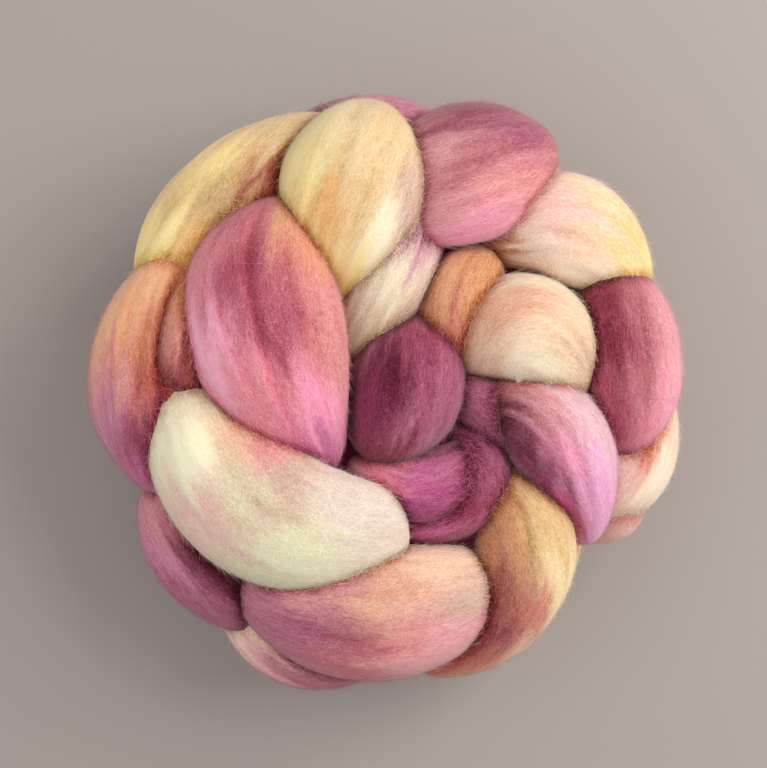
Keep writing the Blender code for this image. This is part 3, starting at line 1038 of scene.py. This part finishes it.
# %% [markdown]
# The hairs of a few neighbouring folds are joined into one piece, because tens of thousands of
# single objects would be slow. Their material is plainer than that of the folds: each hair has
# one colour, and is too thin to show any more.
#
# A real hair is translucent, and light goes through it to the wool below. So the hairs cast no
# shadow, and each is shaded as the skin that it lies on, with the skin's normals: otherwise they
# would be a grey veil over the dyes.

# %% Pieces of loose hair
FOLDS_TO_A_PIECE = 4
HAIR_SEED = 77

loose_hair, start = new_material("loose_hair")
dye = start.node("ShaderNodeAttribute", {"attribute_name": "dye"}, {}, output="Color")
feed(loose_hair, {"Base Color": dye, "Roughness": 0.8, **MATT})


def faces_of_copies(faces, size, count, before):
    """The corners and the corner counts of many copies of a mesh, the first after others."""
    corners = np.array([corner for face in faces for corner in face])
    steps = before + size * np.arange(count)[:, None]
    return (corners + steps).ravel(), np.tile([len(face) for face in faces], count)


def make_hair_piece(number, some_folds):
    """All loose hairs of some folds as one piece."""
    draw = np.random.default_rng(HAIR_SEED + number)
    parts = []
    before = 0
    for tile, fold in enumerate(some_folds):
        for hair in HAIRS:
            pattern, faces = patterns[hair.name]
            placed, facing, tinted, mapped = lay_hairs(draw, fold, hair, pattern, tile)
            corner, sizes = faces_of_copies(faces, len(pattern), len(placed), before)
            before += placed.shape[0] * placed.shape[1]
            rows = [part.reshape(-1, part.shape[-1]) for part in (placed, facing, tinted, mapped)]
            parts.append((*rows, corner, sizes))
    points, normals, colours, spots, corners, counts = map(np.concatenate, zip(*parts))
    mesh = bpy.data.meshes.new(f"loose_hair_{number + 1}")
    mesh.vertices.add(before)
    mesh.vertices.foreach_set("co", points.astype(np.float32).ravel())
    mesh.loops.add(len(corners))
    mesh.loops.foreach_set("vertex_index", corners.astype(np.int32))
    mesh.polygons.add(len(counts))
    mesh.polygons.foreach_set("loop_start", (np.cumsum(counts) - counts).astype(np.int32))
    mesh.update(calc_edges=True)
    store_dye_and_painted_light(mesh, colours)
    chart = mesh.uv_layers.new(name="OFBake")
    chart.data.foreach_set("uv", spots[corners].astype(np.float32).ravel())
    mesh.materials.append(loose_hair)
    mesh.shade_smooth()
    mesh.normals_split_custom_set_from_vertices(normals)
    piece = bpy.data.objects.new(mesh.name, mesh)
    piece.visible_shadow = False
    piece.visible_diffuse = False
    bpy.context.scene.collection.objects.link(piece)
    return piece


hair_pieces = [
    make_hair_piece(number, folds[first:first + FOLDS_TO_A_PIECE])
    for number, first in enumerate(range(0, len(folds), FOLDS_TO_A_PIECE))
]
for piece in hair_pieces:
    triangles = sum(len(face.vertices) - 2 for face in piece.data.polygons)
    print(piece.name, "triangles:", triangles)

# %% [markdown]
# ## Floor and light
#
# The bun lies on a plain pale floor. The light is that of a bright room: one big soft lamp from
# the upper right, a weaker one across from it so that no side is black, and a pale sky all
# round.

# %% Floor
FLOOR_SIDE = 6.0
FLOOR_CELLS = 4
FLOOR_COLOUR = (0.355, 0.324, 0.306, 1)

bpy.ops.mesh.primitive_grid_add(
    x_subdivisions=FLOOR_CELLS, y_subdivisions=FLOOR_CELLS, size=FLOOR_SIDE
)
floor = bpy.context.object
floor.name = "floor"
pale_floor, _ = new_material("pale_floor")
feed(pale_floor, {"Base Color": FLOOR_COLOUR, "Roughness": 0.9, "Specular IOR Level": 0.2})
floor.data.materials.append(pale_floor)
print("floor, m:", round(floor.dimensions.x, 2))

# %% Lamps and sky
SKY = (1.0, 0.97, 0.95, 1)
SKY_STRENGTH = 0.58
Lamp = namedtuple("Lamp", "name place side watts colour")
LAMPS = (
    Lamp("window", (0.60, 0.28, 0.56), 0.60, 7.1, (1.0, 0.965, 0.93)),
    Lamp("bounce", (-0.70, -0.10, 0.60), 0.80, 2.3, (1.0, 0.97, 0.96)),
)


def make_lamp(lamp):
    """A square soft lamp that shines at the bun."""
    place = Vector(lamp.place)
    facing = (Vector((0, 0, MID_HEIGHT)) - place).to_track_quat("-Z", "Y").to_euler()
    bpy.ops.object.light_add(type="AREA", location=place, rotation=facing)
    light = bpy.context.object
    light.name = lamp.name
    light.data.shape = "SQUARE"
    light.data.size = lamp.side
    light.data.energy = lamp.watts
    light.data.color = lamp.colour


for lamp in LAMPS:
    make_lamp(lamp)
world = bpy.data.worlds.new("room")
world.use_nodes = True
sky = world.node_tree.nodes["Background"]
sky.inputs["Color"].default_value = SKY
sky.inputs["Strength"].default_value = SKY_STRENGTH
bpy.context.scene.world = world
bpy.context.scene.view_settings.view_transform = "Standard"
print("lamps, watts:", {lamp.name: lamp.watts for lamp in LAMPS})

# %% [markdown]
# ## Handing the pieces over
#
# The bun has no joint, so every piece rides on the one body. All of them together stand for the one
# solid. Wool this thick is as soft and springy as a pad.

# %% Ride and replace
PIECES = [core] + fold_pieces + hair_pieces
for piece in PIECES:
    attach(piece, "root")
    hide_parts("roving_braid")
for piece in [core] + fold_pieces:
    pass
